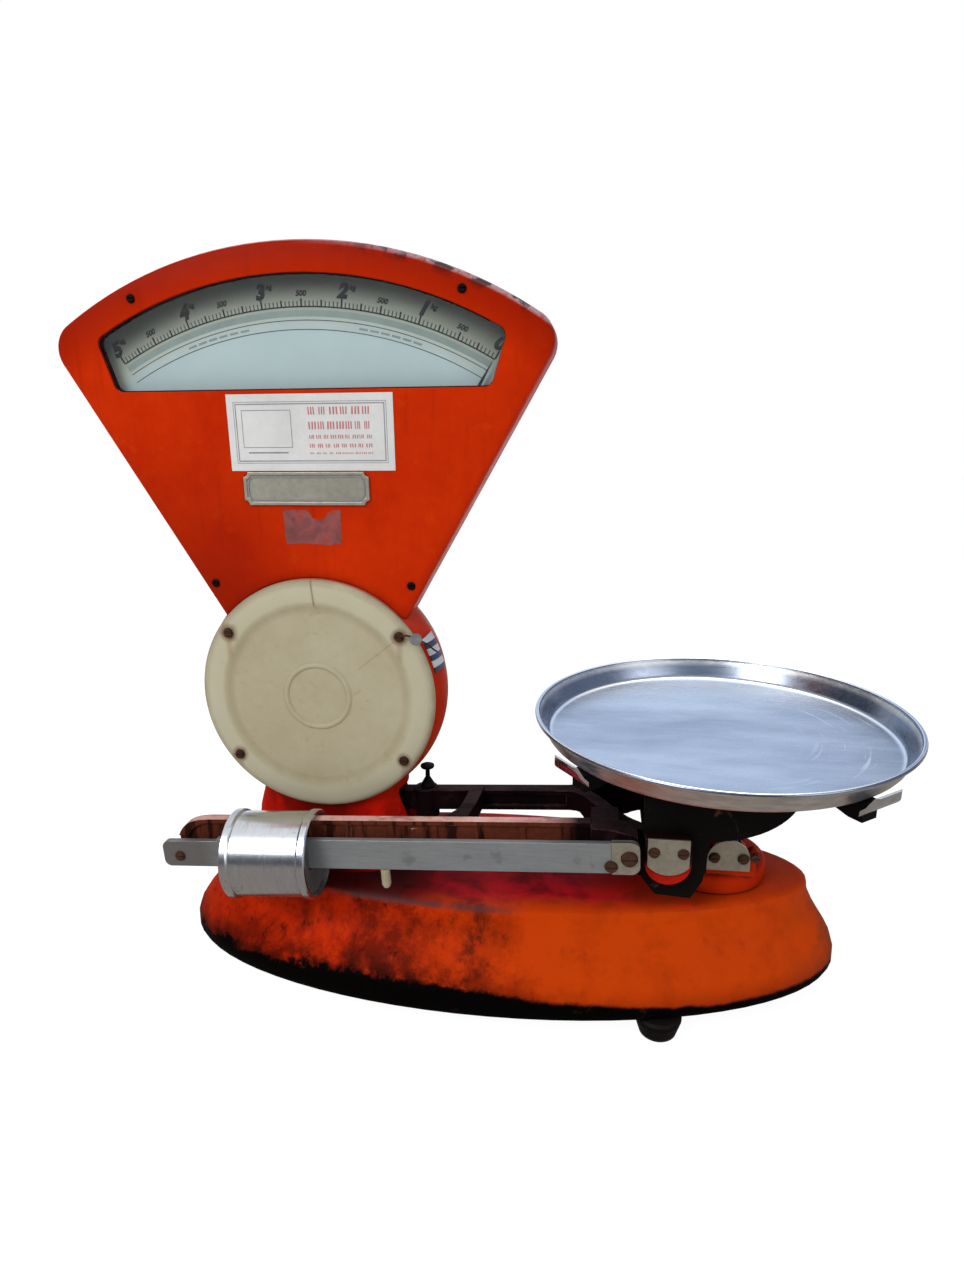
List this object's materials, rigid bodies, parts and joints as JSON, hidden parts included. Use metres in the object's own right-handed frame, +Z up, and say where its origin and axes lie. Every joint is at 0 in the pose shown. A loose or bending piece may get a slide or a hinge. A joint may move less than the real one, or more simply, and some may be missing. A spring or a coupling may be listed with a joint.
{
  "type": "fan dial counter scale",
  "caption": "Counter scale: oval base, round drum with a fan-shaped dial case, knife-edge lever with a sliding poise, and a round lift-off pan on a level carrier.",
  "frame": {"origin": "centre of the outline at the counter surface, under the levelling feet", "axes": "+X from the dial to the pan, -Y towards the user who reads the front dial, +Z up"},
  "size_m": [0.7149, 0.32, 0.636],
  "materials": {
    "orange_paint": "gloss enamel, worn",
    "cream_paint": "satin enamel",
    "black_iron": "dull black paint",
    "lever_iron": "brown painted casting, worn",
    "red_paint": "gloss enamel",
    "bar_steel": "ground flat",
    "hard_steel": "ground and hardened",
    "light_plate": "dull, spotted",
    "rusty_steel": "rusty",
    "chrome": "worn chrome",
    "pan_steel": "polished by use",
    "grey_iron": "rough",
    "brass": "turned",
    "glass": "clear",
    "rubber": "matt",
    "dial_enamel": "printed enamel",
    "pointer_black": "matt",
    "label_paper": "paper",
    "lead": "pressed lead",
    "tag_plastic": "banded"
  },
  "bodies": {
    "stand": {"base_casting": "orange_paint", "deck_bolts": "bar_steel", "fulcrum_turret": "orange_paint", "fulcrum_bearings": "hard_steel", "fulcrum_end_plates": "light_plate", "turret_screws": "rusty_steel", "drum_housing": "orange_paint", "drum_front_cover": "cream_paint", "drum_rear_cover": "cream_paint", "cover_screws": "rusty_steel", "bearing_bridges": "bar_steel", "shaft_bearings": "hard_steel", "fan_housing": "orange_paint", "fan_front_panel": "orange_paint", "fan_screws": "black_iron", "window_glass_front": "glass", "window_glass_rear": "glass", "window_seals": "rubber", "dial_plate_front": "dial_enamel", "dial_plate_rear": "dial_enamel", "dial_brackets": "bar_steel", "name_plate": "light_plate", "paper_label": "label_paper", "seal_wire": "rusty_steel", "lead_seal": "lead", "seal_tag": "tag_plastic", "check_bracket": "bar_steel", "damper_cylinder": "black_iron"},
    "lever": {"lever_casting": "lever_iron", "fulcrum_knives": "hard_steel", "load_knives": "hard_steel", "nose_knife": "hard_steel", "poise_bar": "bar_steel", "bar_end_plate": "light_plate", "bar_screws": "rusty_steel", "poise_stop_pin": "cream_paint"},
    "poise": {"poise_shell": "chrome", "poise_core": "grey_iron"},
    "carrier": {"carrier_frame": "black_iron", "carrier_bearings": "red_paint", "carrier_end_plates": "light_plate", "carrier_screws": "rusty_steel", "pan_spider": "black_iron", "spider_ears": "chrome", "check_stem": "bar_steel"},
    "pan": {"pan": "pan_steel"},
    "check_link": {"check_link": "bar_steel"},
    "pendulum": {"pendulum_shaft": "bar_steel", "tape_cam": "brass", "pendulum_arm": "grey_iron", "pendulum_bob": "grey_iron", "pointers": "pointer_black"},
    "draw_tape": {"draw_tape": "bar_steel"},
    "damper": {"damper_rod": "bar_steel"},
    "damper_knob": {"damper_knob": "black_iron"},
    "foot_front": {"foot_front": "black_iron"},
    "foot_rear": {"foot_rear": "black_iron"},
    "foot_end": {"foot_end": "black_iron"}
  },
  "joints": [
    {"name": "lever_rock", "type": "hinge", "parent": "stand", "child": "lever", "pos_m": [0.2075, 0, 0.142], "axis": [0, 1, 0], "range_deg": [-1.3, 0], "stiffness_Nm_per_rad": 140, "springref_deg": 14.32},
    {"name": "carrier_level", "type": "hinge", "parent": "lever", "child": "carrier", "pos_m": [0.1495, 0, 0.142], "axis": [0, 1, 0], "range_deg": [0, 1.3]},
    {"name": "check_link_swing", "type": "hinge", "parent": "stand", "child": "check_link", "pos_m": [0.2075, 0, 0.052], "axis": [0, 1, 0], "range_deg": [-1.3, 0]},
    {"name": "pendulum_swing", "type": "hinge", "parent": "stand", "child": "pendulum", "pos_m": [-0.1525, 0, 0.28], "axis": [0, 1, 0], "range_deg": [-61, 0]},
    {"name": "tape_pull", "type": "slide", "parent": "stand", "child": "draw_tape", "axis": [0, 0, 1], "range_m": [-0.00845, 0]},
    {"name": "damper_slide", "type": "slide", "parent": "stand", "child": "damper", "axis": [0, 0, 1], "range_m": [-0.00623, 0]},
    {"name": "damper_knob_turn", "type": "hinge", "parent": "damper", "child": "damper_knob", "pos_m": [-0.0625, 0, 0.175], "axis": [0, 0, 1], "continuous": true},
    {"name": "poise_slide", "type": "slide", "parent": "lever", "child": "poise", "axis": [0.9988, 0, 0.048], "range_m": [0, 0.054]},
    {"name": "pan_lift", "type": "slide", "parent": "carrier", "child": "pan", "axis": [0, 0, 1], "range_m": [0, 0.06]},
    {"name": "foot_front_turn", "type": "hinge", "parent": "stand", "child": "foot_front", "pos_m": [0.1485, -0.095, 0.01], "axis": [0, 0, 1], "continuous": true},
    {"name": "foot_rear_turn", "type": "hinge", "parent": "stand", "child": "foot_rear", "pos_m": [0.1485, 0.095, 0.01], "axis": [0, 0, 1], "continuous": true},
    {"name": "foot_end_turn", "type": "hinge", "parent": "stand", "child": "foot_end", "pos_m": [-0.2225, 0, 0.01], "axis": [0, 0, 1], "continuous": true}
  ],
  "couplings": [
    {"joint": "carrier_level", "follows": "lever_rock", "ratio": -1},
    {"joint": "check_link_swing", "follows": "lever_rock", "ratio": 1},
    {"joint": "pendulum_swing", "follows": "lever_rock", "ratio": 46.923},
    {"joint": "tape_pull", "follows": "lever_rock", "m_per_rad": 0.36814},
    {"joint": "damper_slide", "follows": "lever_rock", "m_per_rad": 0.27}
  ]
}
